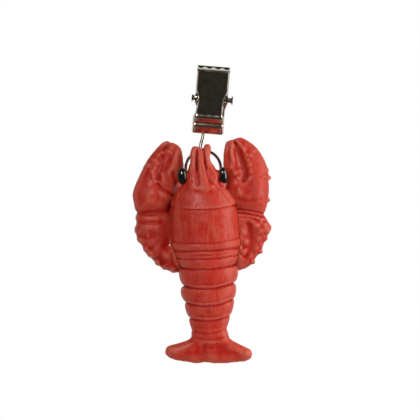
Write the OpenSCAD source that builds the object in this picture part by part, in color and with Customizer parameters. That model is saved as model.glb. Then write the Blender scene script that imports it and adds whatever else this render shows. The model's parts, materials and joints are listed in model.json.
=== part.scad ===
// Lobster tablecloth weight: a cast resin lobster that hangs from a sprung clip
// by a wire link and a jump ring.
// Millimetres. X to the right, Y away from the viewer, Z up.
// The origin is the middle of the clip's grip, where the two toothed lips meet.

/* [Clip] */
// Width of both jaws at the nose
nose_w = 12; // [11.6:0.1:12.4]
// Width of the front jaw where it passes between the rear jaw's ears
waist_w = 9.9; // [9.4:0.1:10.1]
// Width of the front jaw's thumb pad
pad_w = 11.6; // [11.2:0.1:12]
// Width of the rear jaw's tail
tail_w = 10.4; // [10:0.1:10.8]
// Length of the front jaw from nose to pad
clip_l = 24.2; // [23.8:0.1:24.6]
// Thickness of the jaws' sheet metal
sheet = 0.45; // [0.4:0.05:0.5]
// Distance from the nose to the pivot pin
pin_drop = 11.8; // [11.6:0.1:12]
// Diameter of the pivot pin
pin_d = 1.9; // [1.7:0.1:2]
// Length of the pivot pin over its heads
pin_l = 15.1; // [14.8:0.1:15.6]
// Lean of the clip's nose towards the viewer
clip_pitch = 20; // [18:0.5:21]
// Lean of the clip's nose to the right
clip_tilt = 4.5; // [4:0.5:5]

/* [Hanger] */
// Mean radius of the jump ring
ring_r = 6.5; // [6.3:0.1:6.6]
// Diameter of the jump ring's wire
ring_wire = 1.1; // [1:0.05:1.2]
// Height of the middle of the jump ring's lower wire
ring_low_z = -42.7; // [-43.2:0.1:-42.2]
// Sideways place of the hanging line
hang_x = -3.9; // [-4.2:0.1:-3.6]
// Diameter of the link's wire
link_wire = 0.65; // [0.6:0.05:0.7]
// Inner radius of the link's two hooks
hook_r = 1; // [0.95:0.05:1.05]

/* [Lobster] */
// Lean of the lobster's long axis
body_lean = 2.4; // [2:0.2:2.8]
// Diameter of the eye pin's wire
eye_wire = 0.9; // [0.8:0.05:0.9]
// Length of the eye pin's shank
shank_l = 7; // [5:0.5:9]
// Gap kept between the claws and the carapace
claw_gap = 0.3; // [0.2:0.05:0.5]

/* [Hidden] */

NICKEL = [0.62, 0.60, 0.57];
RESIN = [0.72, 0.15, 0.12];
EYE_BLACK = [0.03, 0.03, 0.03];
SMALL = 0.01;

// Running clearance between the pin and its holes, on the radius
pin_play = 0.05;
// Radius of the ears round the pin
ear_r = 1.75;

// The teeth: a wave along the lips, the same for both jaws
teeth_pitch = 3.17;
teeth_swing = 1;
teeth_gap = 0.08;

// The rear jaw's tail: where it starts to flare, where it ends, and its slot
flare_z = -15.5;
flare_y = 4.3;
tail_end = [6.6, -23];
tail_dir = (tail_end - [flare_y, flare_z]) / norm(tail_end - [flare_y, flare_z]);
bar_h = 0.9;
slot_h = 1.5;
slot_w = 8;
// Middle of the crossbar below the slot, as y and z in the clip's own frame
bar_mid = tail_end - tail_dir * bar_h / 2 - [sheet / 2, 0];

// The crossbar's middle turned into the object's frame, and the hanging line there
bar_y = bar_mid[0] * cos(clip_pitch) - bar_mid[1] * sin(clip_pitch);
bar_up = bar_mid[0] * sin(clip_pitch) + bar_mid[1] * cos(clip_pitch);
bar_shift = (hang_x - bar_up * sin(clip_tilt)) / cos(clip_tilt);
bar_z = bar_up * cos(clip_tilt) - bar_shift * sin(clip_tilt);
ring_top_z = ring_low_z + 2 * ring_r;

// Spring: a coil on the pin, with one leg on each tail
coil_r = 1.75;
coil_wire = 0.6;
coil_turns = 3;
coil_half = 2;

// Sections of the lobster's body: height, half width, front and back, about the eye pin's loop
HEAD = [
    [12.9, 3.2, -6.8, -3.4],
    [10, 3.7, -7.3, -3.1],
    [6.5, 4.5, -8, -2.7],
    [4.9, 5.1, -8.4, -2.5],
    [1.4, 6.7, -9.2, -2.3],
    [-2.4, 9.4, -10.2, -2.3]
];
TRUNK = [
    [-2.4, 9.4, -10.2, 5.5],
    [-7.8, 12, -11.4, 8],
    [-13.5, 12.5, -12, 9],
    [-20.8, 12.5, -11.8, 9],
    [-25, 11.9, -11, 8.6],
    [-30.4, 10.9, -10, 8],
    [-34, 10.7, -9.4, 7.4],
    [-37.7, 9.8, -8.8, 6.8],
    [-40.5, 10.1, -8.6, 6.6],
    [-44.3, 8.8, -7.8, 5.8],
    [-47, 8.6, -7.4, 5.4],
    [-49.8, 7.5, -6.6, 4.6],
    [-53.8, 6.7, -5.6, 3.6]
];
FAN = [
    [-53.8, 6.7, -5.6, 3.6],
    [-56.8, 8.9, -4.6, 2.6],
    [-59.7, 14.7, -4, 1.8],
    [-62.6, 15.7, -3.6, 1.2],
    [-64.3, 14, -3.2, 0.8],
    [-65.6, 9, -2.8, 0.4]
];

// Claw and arm as a chain of ellipsoids: middle, then half sizes, from claw tip to shoulder
LEFT_ARM = [
    [[-13.2, -0.5, 14.2], [2.6, 2.4, 2.6]],
    [[-13.4, -0.5, 10.5], [5.4, 3.8, 3]],
    [[-14.8, -0.5, 6.5], [7, 4.6, 3]],
    [[-16.1, -0.5, 1], [8.3, 5, 3]],
    [[-17.6, -0.5, -4.5], [8.5, 5, 3]],
    [[-19, 0, -9], [6.5, 4.4, 2.5]],
    [[-18.8, 0.5, -12.5], [5.6, 4, 2]],
    [[-19.2, 1, -16.5], [5.8, 4.2, 2.5]],
    [[-18.2, 2, -21], [5.4, 4.2, 3]],
    [[-15.2, 3, -25.5], [5.2, 4.2, 3]],
    [[-10.5, 4, -28.5], [5.2, 4, 3]]
];
RIGHT_ARM = [
    [[13.6, -0.5, 13.8], [3.6, 2.4, 2.8]],
    [[14.2, -0.5, 10.5], [6.5, 3.8, 3]],
    [[15.6, -0.5, 6], [8, 4.6, 3]],
    [[16.3, -0.5, 1], [8.3, 5, 3]],
    [[16.4, -0.5, -4], [8.2, 5, 3]],
    [[16.6, 0, -8.5], [6.2, 4.4, 2.5]],
    [[17, 0.5, -12], [6.4, 4, 2]],
    [[18.3, 1, -16], [6.5, 4.2, 2.5]],
    [[17.2, 2, -20.5], [5.4, 4.2, 3]],
    [[14.6, 3, -25], [5.5, 4.2, 3]],
    [[10.6, 4, -28.5], [5.5, 4, 3]]
];

// Puts what is drawn in the clip's own frame at the clip's lean
module clip_frame() {
    rotate([clip_pitch, clip_tilt, 0]) children();
}

// Puts what is drawn about the eye pin's loop under the hanging line
module lobster_frame() {
    translate([hang_x, bar_y, ring_low_z]) children();
}

// Extrudes a y-z outline along X, centred
module along_x(length) {
    translate([-length / 2, 0, 0]) rotate([90, 0, 90]) linear_extrude(length) children();
}

// Extrudes an x-z outline along Y, centred
module along_y(length) {
    translate([0, length / 2, 0]) rotate([90, 0, 0]) linear_extrude(length) children();
}

// Points of a smooth S from one height and half width to another
function s_curve(z0, w0, z1, w1) =
    [for (i = [0:6]) [z0 + (z1 - z0) * i / 6, w0 + (w1 - w0) * (1 - cos(30 * i)) / 2]];

// A symmetric x-z outline from a list of heights and half widths
module sheet_outline(edge, inset) {
    last = len(edge) - 1;
    polygon(concat(
        [for (p = edge) [p[1] - inset, p[0]]],
        [for (i = [last:-1:0]) [inset - edge[i][1], edge[i][0]]]));
}

// The toothed lip: from the jaw's face back to the wave where the jaws meet
module lip(depth, swing) {
    steps = 36;
    translate([0, 0, -sheet]) linear_extrude(sheet)
        polygon(concat(
            [[nose_w / 2, -depth], [-nose_w / 2, -depth]],
            [for (i = [0:steps])
                let (x = nose_w * (i / steps - 0.5))
                [x, swing * cos(360 * x / teeth_pitch) - teeth_gap]]));
}

// A pressed jaw: a face with side flanges, an ear on each flange, and a toothed lip.
// face and back are y-z points from nose to tail, edge is heights and half widths,
// and swing is the height of the teeth, negative where the wave is half a pitch over.
module jaw(face, back, edge, swing) {
    last_face = len(face) - 1;
    last_back = len(back) - 1;
    deep = 30;
    wide = 20;
    difference() {
        intersection() {
            along_x(wide) union() {
                polygon(concat(face, [for (i = [last_back:-1:0]) back[i]]));
                translate([0, -pin_drop]) circle(r = ear_r, $fn = 48);
                translate([-3, -pin_drop - ear_r]) square([3, 2 * ear_r]);
            }
            along_y(deep) sheet_outline(edge, 0);
        }
        intersection() {
            along_x(wide)
                polygon(concat(
                    [[8, -sheet]],
                    [[face[1][0] + sheet, -sheet]],
                    [for (i = [1:last_face]) face[i] + [sheet, i == last_face ? -1 : 0]],
                    [[8, face[last_face][1] - 1]]));
            along_y(deep) sheet_outline(concat([[1, edge[0][1]]], edge), sheet);
        }
        translate([0, 0, -pin_drop]) rotate([0, 90, 0])
            cylinder(d = pin_d + 2 * pin_play, h = wide, center = true, $fn = 48);
    }
    lip(-face[1][0] - SMALL, swing);
}

module front_jaw() {
    edge = concat(
        [[0, nose_w / 2]],
        s_curve(-7.8, nose_w / 2, -10.5, waist_w / 2),
        s_curve(-16.6, waist_w / 2, -18.2, pad_w / 2),
        [[-clip_l, pad_w / 2 + 0.1]]);
    face = [
        [-2.6, 0], [-3, -0.4], [-3.9, -11.8], [-4.1, -16.8],
        [-2.95, -20.3], [-3.15, -20.6], [-2.9, -21.1], [-2.6, -21.3], [-1.5, -clip_l]];
    back = [
        [-1.2, 0], [-1.2, -sheet], [-2.2, -6.5], [-2.3, -9.8],
        [-2.3, -13.9], [-3.1, -15.8], [-2.9, -16.8], [-1.7, -20.3], [-1.3, -21.3], [-0.4, -clip_l]];
    color(NICKEL) clip_frame() jaw(face, back, edge, teeth_swing);
}

module rear_jaw() {
    edge = concat(
        [[0, nose_w / 2]],
        s_curve(-14.2, nose_w / 2, -16.5, tail_w / 2),
        [[tail_end[1], tail_w / 2]]);
    face = [[-2.6, 0], [-3, -0.4], [-4, -11.8], [-flare_y, flare_z], [-tail_end[0], tail_end[1]]];
    back = [
        [-1.2, 0], [-1.2, -sheet], [-2.2, -6.5], [-2.3, -9.8],
        [-2.3, -13.9], [-3.1, flare_z], [-tail_end[0] + 1.1, tail_end[1]]];
    slot_mid = tail_end - tail_dir * (bar_h + slot_h / 2);
    tail_angle = atan2(tail_dir[0], -tail_dir[1]);
    color(NICKEL) clip_frame() difference() {
        mirror([0, 1, 0]) jaw(face, back, edge, -teeth_swing);
        translate([0, slot_mid[0], slot_mid[1]]) rotate([tail_angle, 0, 0])
            cube([slot_w, 4, slot_h], center = true);
    }
}

module pivot_pin() {
    head = 0.55;
    left_r = 1.4;
    right_r = 1.7;
    // The pin's longer end is on the right
    offset_right = 0.3;
    color(NICKEL) clip_frame() translate([offset_right, 0, -pin_drop]) rotate([0, 90, 0]) {
        cylinder(d = pin_d, h = pin_l, center = true, $fn = 48);
        translate([0, 0, -pin_l / 2]) cylinder(r1 = left_r, r2 = left_r * 0.85, h = head, $fn = 48);
        translate([0, 0, pin_l / 2 - head]) cylinder(r1 = right_r * 0.85, r2 = right_r, h = head, $fn = 48);
    }
}

// One ring of points round a wire's path at p, where the path runs along t in the y-z plane
function wire_ring(p, t, r, sides) =
    let (n = cross(t, [1, 0, 0]) / norm(cross(t, [1, 0, 0])), b = cross(t, n) / norm(t))
    [for (i = [0:sides - 1]) p + r * (cos(360 * i / sides) * n + sin(360 * i / sides) * b)];

// A wire swept along a list of points
module wire(path, d, sides) {
    last = len(path) - 1;
    rings = [for (i = [0:last])
        wire_ring(path[i], path[min(i + 1, last)] - path[max(i - 1, 0)], d / 2, sides)];
    points = [for (ring = rings) each ring];
    walls = [for (i = [0:last - 1]) for (j = [0:sides - 1])
        let (a = i * sides + j, b = i * sides + (j + 1) % sides)
        each [[a, b, b + sides], [a, b + sides, a + sides]]];
    caps = [[for (j = [sides - 1:-1:0]) j], [for (j = [0:sides - 1]) last * sides + j]];
    polyhedron(points, concat(walls, caps));
}

module torsion_spring() {
    leg_z = -16.2 + pin_drop;
    step = 18;
    sweep = 360 * coil_turns + 180;
    coil = [for (a = [0:step:sweep])
        [coil_half * (2 * a / sweep - 1), coil_r * cos(a), coil_r * sin(a)]];
    path = concat([[-coil_half, 3.3, leg_z]], coil, [[coil_half, -3.1, leg_z]]);
    color(NICKEL) clip_frame() translate([0, 0, -pin_drop]) wire(path, coil_wire, 8);
}

// Part of a wire ring in the y-z plane, from one angle to another, counted from +Y towards +Z
module wire_arc(r, d, from, to) {
    rotate([90, 0, 90]) rotate([0, 0, from]) rotate_extrude(angle = to - from, $fn = 64)
        translate([r, 0]) circle(d = d, $fn = 32);
}

module wire_link() {
    arc_r = hook_r + link_wire / 2;
    strand_x = link_wire / 2 + 0.03;
    open_at = 60;
    drop = bar_z - ring_top_z;
    color(NICKEL) translate([hang_x, bar_y, bar_z]) {
        for (side = [-1, 1]) translate([side * strand_x, 0, 0]) {
            wire_arc(arc_r, link_wire, -open_at, 180);
            translate([0, -arc_r, -drop]) cylinder(d = link_wire, h = drop, $fn = 32);
            translate([0, 0, -drop]) wire_arc(arc_r, link_wire, 180, 360 + open_at);
        }
        // The bend that joins the two strands at the tip of the lower hook
        translate([0, 0, -drop]) rotate([open_at, 0, 0]) translate([0, arc_r, 0])
            rotate_extrude(angle = 180, $fn = 64)
                translate([strand_x, 0]) circle(d = link_wire, $fn = 32);
    }
}

module hanging_ring() {
    // The butt joint where the ring was closed
    split = 2;
    split_at = 200;
    color(NICKEL) translate([hang_x, bar_y, ring_low_z + ring_r]) rotate([90, 0, 0])
        rotate([0, 0, split_at]) rotate_extrude(angle = 360 - split, $fn = 96)
            translate([ring_r, 0]) circle(d = ring_wire, $fn = 32);
}

module eye_pin() {
    loop_r = 0.95 + eye_wire / 2;
    color(NICKEL) lobster_frame() {
        wire_arc(loop_r, eye_wire, 0, 360);
        translate([0, 0, -loop_r - shank_l]) cylinder(d = eye_wire, h = shank_l, $fn = 32);
    }
}

// A flat elliptic section of the body
module section(s, grow) {
    translate([0, (s[2] + s[3]) / 2, s[0]]) linear_extrude(SMALL)
        scale([s[1] + grow, (s[3] - s[2]) / 2 + grow]) circle(r = 1, $fn = 32);
}

// A loft through a list of sections
module loft(sections, grow) {
    for (i = [0:len(sections) - 2])
        hull() {
            section(sections[i], grow);
            section(sections[i + 1], grow);
        }
}

// The lobster's body from the rostrum to the tail fan, grown for clearances
module body_core(grow) {
    rotate([0, -body_lean, 0]) {
        loft(HEAD, grow);
        loft(TRUNK, grow);
        loft(FAN, grow);
        // The two tips of the rostrum
        for (tip = [[-2.1, 13.9], [1.9, 14.6]])
            hull() {
                translate([tip[0], -4.8, 12]) sphere(r = 1.3 + grow, $fn = 20);
                translate([tip[0], -4.8, tip[1] - 0.9]) sphere(r = 0.9 + grow, $fn = 20);
            }
        // The eye stalks
        for (side = [-1, 1])
            hull() {
                translate([side * 4.5, -6, 2.8]) sphere(r = 1.7 + grow, $fn = 20);
                translate([side * 6, -6.2, 3]) sphere(r = 1.5 + grow, $fn = 20);
            }
    }
}

module body_casting() {
    shank_play = 0.05;
    color(RESIN) lobster_frame() difference() {
        body_core(0);
        translate([0, 0, -shank_l - 2]) cylinder(d = eye_wire + 2 * shank_play, h = shank_l, $fn = 32);
    }
}

// One claw with its arm, cut to the flank of the body
module claw_arm(chain) {
    clear_above = -24;
    difference() {
        for (i = [0:len(chain) - 2])
            hull()
                for (blob = [chain[i], chain[i + 1]])
                    translate(blob[0]) scale(blob[1]) sphere(r = 1, $fn = 24);
        body_core(0);
        intersection() {
            body_core(claw_gap);
            translate([-50, -50, clear_above]) cube(100);
        }
    }
}

module left_claw_arm() {
    color(RESIN) lobster_frame() claw_arm(LEFT_ARM);
}

module right_claw_arm() {
    color(RESIN) lobster_frame() claw_arm(RIGHT_ARM);
}

// A polished bead, seated in the head
module eye(middle, half) {
    color(EYE_BLACK) lobster_frame() difference() {
        translate(middle) scale(half) sphere(r = 1, $fn = 32);
        body_core(0);
    }
}

module left_eye() {
    eye([-7.6, -6.6, 3.3], [1.65, 1.8, 3.1]);
}

module right_eye() {
    eye([7.3, -6.6, 3.7], [1.35, 1.8, 2.8]);
}

rear_jaw();
front_jaw();
pivot_pin();
torsion_spring();
wire_link();
hanging_ring();
eye_pin();
body_casting();
left_claw_arm();
right_claw_arm();
left_eye();
right_eye();
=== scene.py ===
"""Lobster tablecloth weight: the looks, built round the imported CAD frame.

The lobster is sculpted as signed distances on a grid, in millimetres about its hanging point (the
middle of the eye pin's loop), and meshed. Wires are swept tubes. X right, Y away, Z up.
"""

import json
import math

import bpy
import numpy as np
import openvdb
from mathutils import Matrix, Vector


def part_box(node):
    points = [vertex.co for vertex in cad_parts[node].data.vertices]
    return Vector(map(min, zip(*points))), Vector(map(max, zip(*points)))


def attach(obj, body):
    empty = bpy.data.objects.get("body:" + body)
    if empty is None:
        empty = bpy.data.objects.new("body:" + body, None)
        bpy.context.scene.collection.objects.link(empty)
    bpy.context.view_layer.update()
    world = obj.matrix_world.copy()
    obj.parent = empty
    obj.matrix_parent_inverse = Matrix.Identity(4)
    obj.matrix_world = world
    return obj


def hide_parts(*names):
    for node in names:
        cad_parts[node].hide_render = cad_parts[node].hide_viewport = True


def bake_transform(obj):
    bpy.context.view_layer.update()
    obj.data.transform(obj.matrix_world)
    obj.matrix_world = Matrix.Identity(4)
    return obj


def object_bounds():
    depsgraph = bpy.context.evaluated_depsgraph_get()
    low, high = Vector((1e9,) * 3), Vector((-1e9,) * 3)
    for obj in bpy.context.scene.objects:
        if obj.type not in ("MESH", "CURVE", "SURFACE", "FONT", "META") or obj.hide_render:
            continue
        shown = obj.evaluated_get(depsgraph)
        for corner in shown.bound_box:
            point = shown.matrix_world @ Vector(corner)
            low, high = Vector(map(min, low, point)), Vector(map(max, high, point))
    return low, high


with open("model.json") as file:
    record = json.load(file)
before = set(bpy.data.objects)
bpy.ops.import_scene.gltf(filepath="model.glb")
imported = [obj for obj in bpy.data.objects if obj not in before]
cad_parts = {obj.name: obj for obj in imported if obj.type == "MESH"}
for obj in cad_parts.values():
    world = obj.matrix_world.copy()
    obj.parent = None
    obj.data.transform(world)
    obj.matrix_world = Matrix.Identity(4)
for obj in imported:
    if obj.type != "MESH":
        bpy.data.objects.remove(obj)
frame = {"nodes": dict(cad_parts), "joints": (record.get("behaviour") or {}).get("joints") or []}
CAD_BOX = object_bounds()

MM = 0.001
# The lobster's own origin: the joint where it hangs on the ring, in metres
HANG = next(Vector(j["pos_m"]) for j in frame["joints"] if j["name"] == "lobster_nod")
# Lean of the body's long axis, as in the CAD, in degrees
BODY_LEAN = 2.4
# Grid spacing of the sculpted pieces, in millimetres
BODY_VOXEL, ARM_VOXEL, EYE_VOXEL = 0.28, 0.24, 0.12
# Distances stop at FAR, and a shape is worked out MARGIN beyond its own box
FAR = 4.0
MARGIN = 1.2


def new_object(name, data):
    """An object with that data, linked to the scene."""
    obj = bpy.data.objects.new(name, data)
    bpy.context.scene.collection.objects.link(obj)
    return obj


def new_mesh(name, verts, faces):
    """A mesh of those points and faces."""
    mesh = bpy.data.meshes.new(name)
    mesh.from_pydata(verts, [], faces)
    return mesh


# ---- small maths

def spline(points, steps=6, closed=False):
    """Points along a smooth curve through the given ones (Catmull-Rom)."""
    p = np.array(points, float)
    n = len(p)
    if closed:
        before, after, far = np.roll(p, 1, 0), np.roll(p, -1, 0), np.roll(p, -2, 0)
        count = n
    else:
        ends = np.vstack([2 * p[0] - p[1], p, 2 * p[-1] - p[-2]])
        before, p, after, far = ends[:-3], ends[1:-2], ends[2:-1], ends[3:]
        count = n - 1
    out = []
    for i in range(count):
        for t in np.arange(steps) / steps:
            out.append(0.5 * (2 * p[i] + (after[i] - before[i]) * t
                              + (2 * before[i] - 5 * p[i] + 4 * after[i] - far[i]) * t * t
                              + (3 * p[i] - before[i] - 3 * after[i] + far[i]) * t ** 3))
    if not closed:
        out.append(np.array(points[-1], float))
    return np.array(out)


def curve(points, soft=0.4):
    """A smooth function of one coordinate through (coordinate, value) pairs."""
    step = 0.04
    pairs = np.array(sorted(points), float)
    t = np.arange(pairs[0, 0] - 3, pairs[-1, 0] + 3, step)
    reach = int(4 * soft / step)
    kernel = np.exp(-0.5 * (np.arange(-reach, reach + 1) * step / soft) ** 2)
    v = np.interp(t, pairs[:, 0], pairs[:, 1])
    v = np.convolve(np.pad(v, reach, mode="edge"), kernel / kernel.sum(), mode="valid")
    return lambda q: np.interp(q, t, v)


def ease(low, high, q):
    """0 below low, 1 above high, smooth between."""
    t = np.clip((q - low) / (high - low), 0, 1)
    return t * t * (3 - 2 * t)


def bell(q, width):
    """1 at zero, falling off over width on both sides."""
    return np.exp(-(q / width) ** 2)


def soft_min(a, b, k):
    """The smaller of two distances, rounded over k where they are alike."""
    h = np.maximum(k - np.abs(a - b), 0) / k
    return np.minimum(a, b) - h * h * k / 4


def spread(values, count):
    """One value or several, spread evenly over a number of points."""
    return np.interp(np.linspace(0, 1, count), np.linspace(0, 1, np.size(values)), np.atleast_1d(values))


def blurred(a, reach):
    """Box blur with two passes along each axis."""
    for axis in range(a.ndim):
        for _ in range(2):
            pad = [(0, 0)] * a.ndim
            pad[axis] = (reach + 1, reach)
            run = np.cumsum(np.pad(a, pad, mode="edge"), axis=axis, dtype=np.float64)
            n = a.shape[axis]
            hi = np.take(run, np.arange(2 * reach + 1, 2 * reach + 1 + n), axis=axis)
            lo = np.take(run, np.arange(0, n), axis=axis)
            a = ((hi - lo) / (2 * reach + 1)).astype(np.float32)
    return a


def sample(field, points):
    """Values of a grid at points given in cells, blended between the eight nearest."""
    last = np.array(field.shape) - 2
    base = np.clip(np.floor(points).astype(int), 0, last)
    part = np.clip(points - base, 0, 1)
    total = 0
    for corner in np.ndindex(2, 2, 2):
        weight = np.prod(np.where(corner, part, 1 - part), axis=1)
        total = total + weight * field[tuple((base + corner).T)]
    return total


# ---- sculpting

class Clay:
    """A solid as signed distances in millimetres on a grid."""

    def __init__(self, low, high, voxel):
        self.low, self.voxel = np.array(low, float), voxel
        counts = np.ceil((np.array(high) - self.low) / voxel).astype(int) + 1
        self.axes = [self.low[i] + voxel * np.arange(counts[i]) for i in range(3)]
        self.d = np.full(counts, FAR, np.float32)

    def _block(self, low, high):
        """The part of the grid round a box, and its coordinates."""
        cut = []
        for i in range(3):
            a = int(max(0, (low[i] - MARGIN - self.low[i]) // self.voxel))
            b = int(max(a, (high[i] + MARGIN - self.low[i]) // self.voxel + 1))
            cut.append(slice(a, b))
        x, y, z = (self.axes[i][cut[i]] for i in range(3))
        return tuple(cut), x[:, None, None], y[None, :, None], z[None, None, :]

    def add(self, shape, blend=0.6):
        """Joins a shape on, with a fillet of about blend."""
        low, high, distance = shape
        cut, x, y, z = self._block(low, high)
        if self.d[cut].size:
            self.d[cut] = soft_min(self.d[cut], np.minimum(distance(x, y, z), FAR), blend)

    def cut(self, shape, blend=0.4):
        """Takes a shape away, with its rim rounded."""
        low, high, distance = shape
        cut, x, y, z = self._block(low, high)
        if self.d[cut].size:
            self.d[cut] = -soft_min(-self.d[cut], distance(x, y, z), blend)

    def emboss(self, path, width, height):
        """Raises the front along a path of x, z points; a negative height presses a crease."""
        p = np.atleast_2d(np.array(path, float))
        if len(p) > 2:
            p = spline(p, 5)
        wide = spread(width, len(p))
        pad = 2.2 * wide.max()
        low = [p[:, 0].min() - pad, self.axes[1][0], p[:, 1].min() - pad]
        high = [p[:, 0].max() + pad, self.axes[1][-1], p[:, 1].max() + pad]
        cut, x, y, z = self._block(low, high)
        if not self.d[cut].size:
            return
        best = None
        if len(p) == 1:
            best = np.hypot(x - p[0, 0], z - p[0, 1]) / wide[0]
        for a, b, wa, wb in zip(p[:-1], p[1:], wide[:-1], wide[1:]):
            v = b - a
            t = np.clip(((x - a[0]) * v[0] + (z - a[1]) * v[1]) / max(v @ v, 1e-9), 0, 1)
            gap = np.hypot(x - a[0] - t * v[0], z - a[1] - t * v[1]) / (wa + (wb - wa) * t)
            best = gap if best is None else np.minimum(best, gap)
        facing = ease(1, -1, y)
        self.d[cut] -= (height * bell(best, 1.0) * facing).astype(np.float32)

    def bumps(self, rows):
        """Low round bumps on the front: x, z, width and height of each."""
        for x, z, width, height in rows:
            self.emboss([(x, z)], width, height)

    def whole(self):
        """The coordinates of the whole grid."""
        return self.axes[0][:, None, None], self.axes[1][None, :, None], self.axes[2][None, None, :]

    def mesh(self, name):
        """The surface as a Blender mesh in the row frame, with how hollow it is at each point."""
        grid = openvdb.FloatGrid(FAR)
        grid.copyFromArray(np.clip(self.d, -FAR, FAR))
        points, quads = grid.convertToQuads(isovalue=0.0)
        solid = np.clip(0.5 - self.d / self.voxel / 2, 0, 1)
        fine = sample(blurred(solid, max(1, round(0.45 / self.voxel))), points) - 0.5
        broad = sample(blurred(solid, round(1.3 / self.voxel)), points) - 0.5
        local = points * self.voxel + self.low
        mesh = bpy.data.meshes.new(name)
        mesh.vertices.add(len(local))
        mesh.vertices.foreach_set("co", (local * MM + np.array(HANG)).astype(np.float32).ravel())
        mesh.loops.add(quads.size)
        mesh.loops.foreach_set("vertex_index", quads[:, ::-1].astype(np.int32).ravel())
        mesh.polygons.add(len(quads))
        mesh.polygons.foreach_set("loop_start", np.arange(0, quads.size, 4, dtype=np.int32))
        mesh.update(calc_edges=True)
        mesh.validate()
        for label, value in (("hollow_fine", fine), ("hollow_broad", broad)):
            layer = mesh.attributes.new(label, "FLOAT", "POINT")
            layer.data.foreach_set("value", value.astype(np.float32))
        mesh.polygons.foreach_set("use_smooth", np.ones(len(mesh.polygons), bool))
        return mesh


def ball(centre, radii, turn=0.0):
    """An ellipsoid, turned about Y by some degrees."""
    c, r = np.array(centre, float), np.array(np.broadcast_to(radii, 3), float)
    s, k = math.sin(math.radians(turn)), math.cos(math.radians(turn))
    reach = np.full(3, r.max()) if turn else r

    def distance(x, y, z):
        dx, dy, dz = x - c[0], y - c[1], z - c[2]
        px, pz = dx * k + dz * s, -dx * s + dz * k
        k0 = np.sqrt((px / r[0]) ** 2 + (dy / r[1]) ** 2 + (pz / r[2]) ** 2)
        k1 = np.sqrt((px / r[0] ** 2) ** 2 + (dy / r[1] ** 2) ** 2 + (pz / r[2] ** 2) ** 2)
        return k0 * (k0 - 1) / np.maximum(k1, 1e-6)
    return c - reach, c + reach, distance


def rod(points, radii):
    """A round rod along points, its radius running from one value to the next."""
    p = np.array(points, float)
    r = spread(radii, len(p))

    def distance(x, y, z):
        best = None
        for a, b, ra, rb in zip(p[:-1], p[1:], r[:-1], r[1:]):
            v = b - a
            t = ((x - a[0]) * v[0] + (y - a[1]) * v[1] + (z - a[2]) * v[2]) / max(v @ v, 1e-9)
            t = np.clip(t, 0, 1)
            gap = np.sqrt((x - a[0] - t * v[0]) ** 2 + (y - a[1] - t * v[1]) ** 2
                          + (z - a[2] - t * v[2]) ** 2) - (ra + (rb - ra) * t)
            best = gap if best is None else np.minimum(best, gap)
        return best
    return (p - r[:, None]).min(0), (p + r[:, None]).max(0), distance


def outline_distance(outline, x, z):
    """Signed distance in the x-z plane to a closed smooth outline, negative inside."""
    p = spline(outline, 6, closed=True)
    q = np.roll(p, -1, 0)
    best = np.full(np.broadcast(x, z).shape, 1e9)
    inside = np.zeros(best.shape, bool)
    for (ax, az), (bx, bz) in zip(p, q):
        vx, vz = bx - ax, bz - az
        t = np.clip(((x - ax) * vx + (z - az) * vz) / max(vx * vx + vz * vz, 1e-9), 0, 1)
        best = np.minimum(best, (x - ax - t * vx) ** 2 + (z - az - t * vz) ** 2)
        if bz != az:
            crosses = ((az > z) != (bz > z)) & (x < ax + (z - az) * vx / (bz - az))
            inside ^= crosses
    return np.where(inside, -1, 1) * np.sqrt(best)


def pillow(outline, middle, depth, edge, soften=3):
    """A cushion-shaped solid with that outline from the front. middle is y at the rim and depth half
    the thickness, both functions of z; edge is how far in the rim is rounded, and soften the blur, in
    cells, that keeps a ridge from showing along the outline's middle."""
    p = np.array(outline, float)
    high = max(abs(middle(z)) + depth(z) for z in p[:, 1])

    def distance(x, y, z):
        flat = outline_distance(outline, x[:, 0, :], z[:, 0, :])
        inner = np.minimum(flat, 0)
        smooth = 0.35 * inner + 0.65 * np.minimum(blurred(inner, soften), 0)
        flat = np.where(flat < 0, smooth, flat)[:, None, :]
        across = (y - middle(z)) * edge / depth(z)
        inward = np.maximum(flat + edge, 0)
        return (np.sqrt(inward ** 2 + across ** 2) - edge) * np.minimum(depth(z) / edge, 1)
    return (np.array([p[:, 0].min(), -high, p[:, 1].min()]) - 0.6,
            np.array([p[:, 0].max(), high, p[:, 1].max()]) + 0.6, distance)


# ---- the body casting

# Half widths left and right of the body's axis, without the side plates' lobes
LEFT_SIDE = curve([
    (13, 3), (12, 3.7), (9.6, 3.9), (6.7, 4.5), (5.4, 5), (3.4, 6.6), (0.7, 8.5), (-2.4, 10.7),
    (-5.8, 12.2), (-14.4, 13), (-20.2, 12.7), (-23.3, 12.4), (-24.4, 11.6), (-27.3, 10.9), (-30.6, 9.3),
    (-38.3, 8.45), (-44.3, 8.05), (-49.8, 7), (-52.8, 6.2), (-55, 5.1)
], 0.45)
RIGHT_SIDE = curve([
    (13, 2.4), (12, 2.9), (10, 2.8), (8.2, 3.1), (6.3, 4.2), (4.7, 4.9), (0.4, 6.9), (-3.2, 10), (-6, 11.6),
    (-10.8, 12.4), (-17.6, 12.9), (-23.2, 12.7), (-24.4, 12.1), (-27, 11.8), (-30.6, 10.3), (-38.2, 9.7),
    (-44.6, 9.3), (-49.9, 7.9), (-52.8, 6.9), (-55.4, 5.5)
], 0.45)
FRONT = curve([
    (13, -6.2), (10, -7.3), (6.5, -8), (4.9, -8.4), (1.4, -9.2), (-2.4, -10.2), (-7.8, -11.4), (-13.5, -12),
    (-20.8, -11.8), (-25, -10.9), (-30.4, -9.8), (-34, -9.2), (-37.7, -8.6), (-44.3, -7.5), (-49.8, -6.2),
    (-54, -5.2), (-57, -4.2)
], 1)
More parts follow.
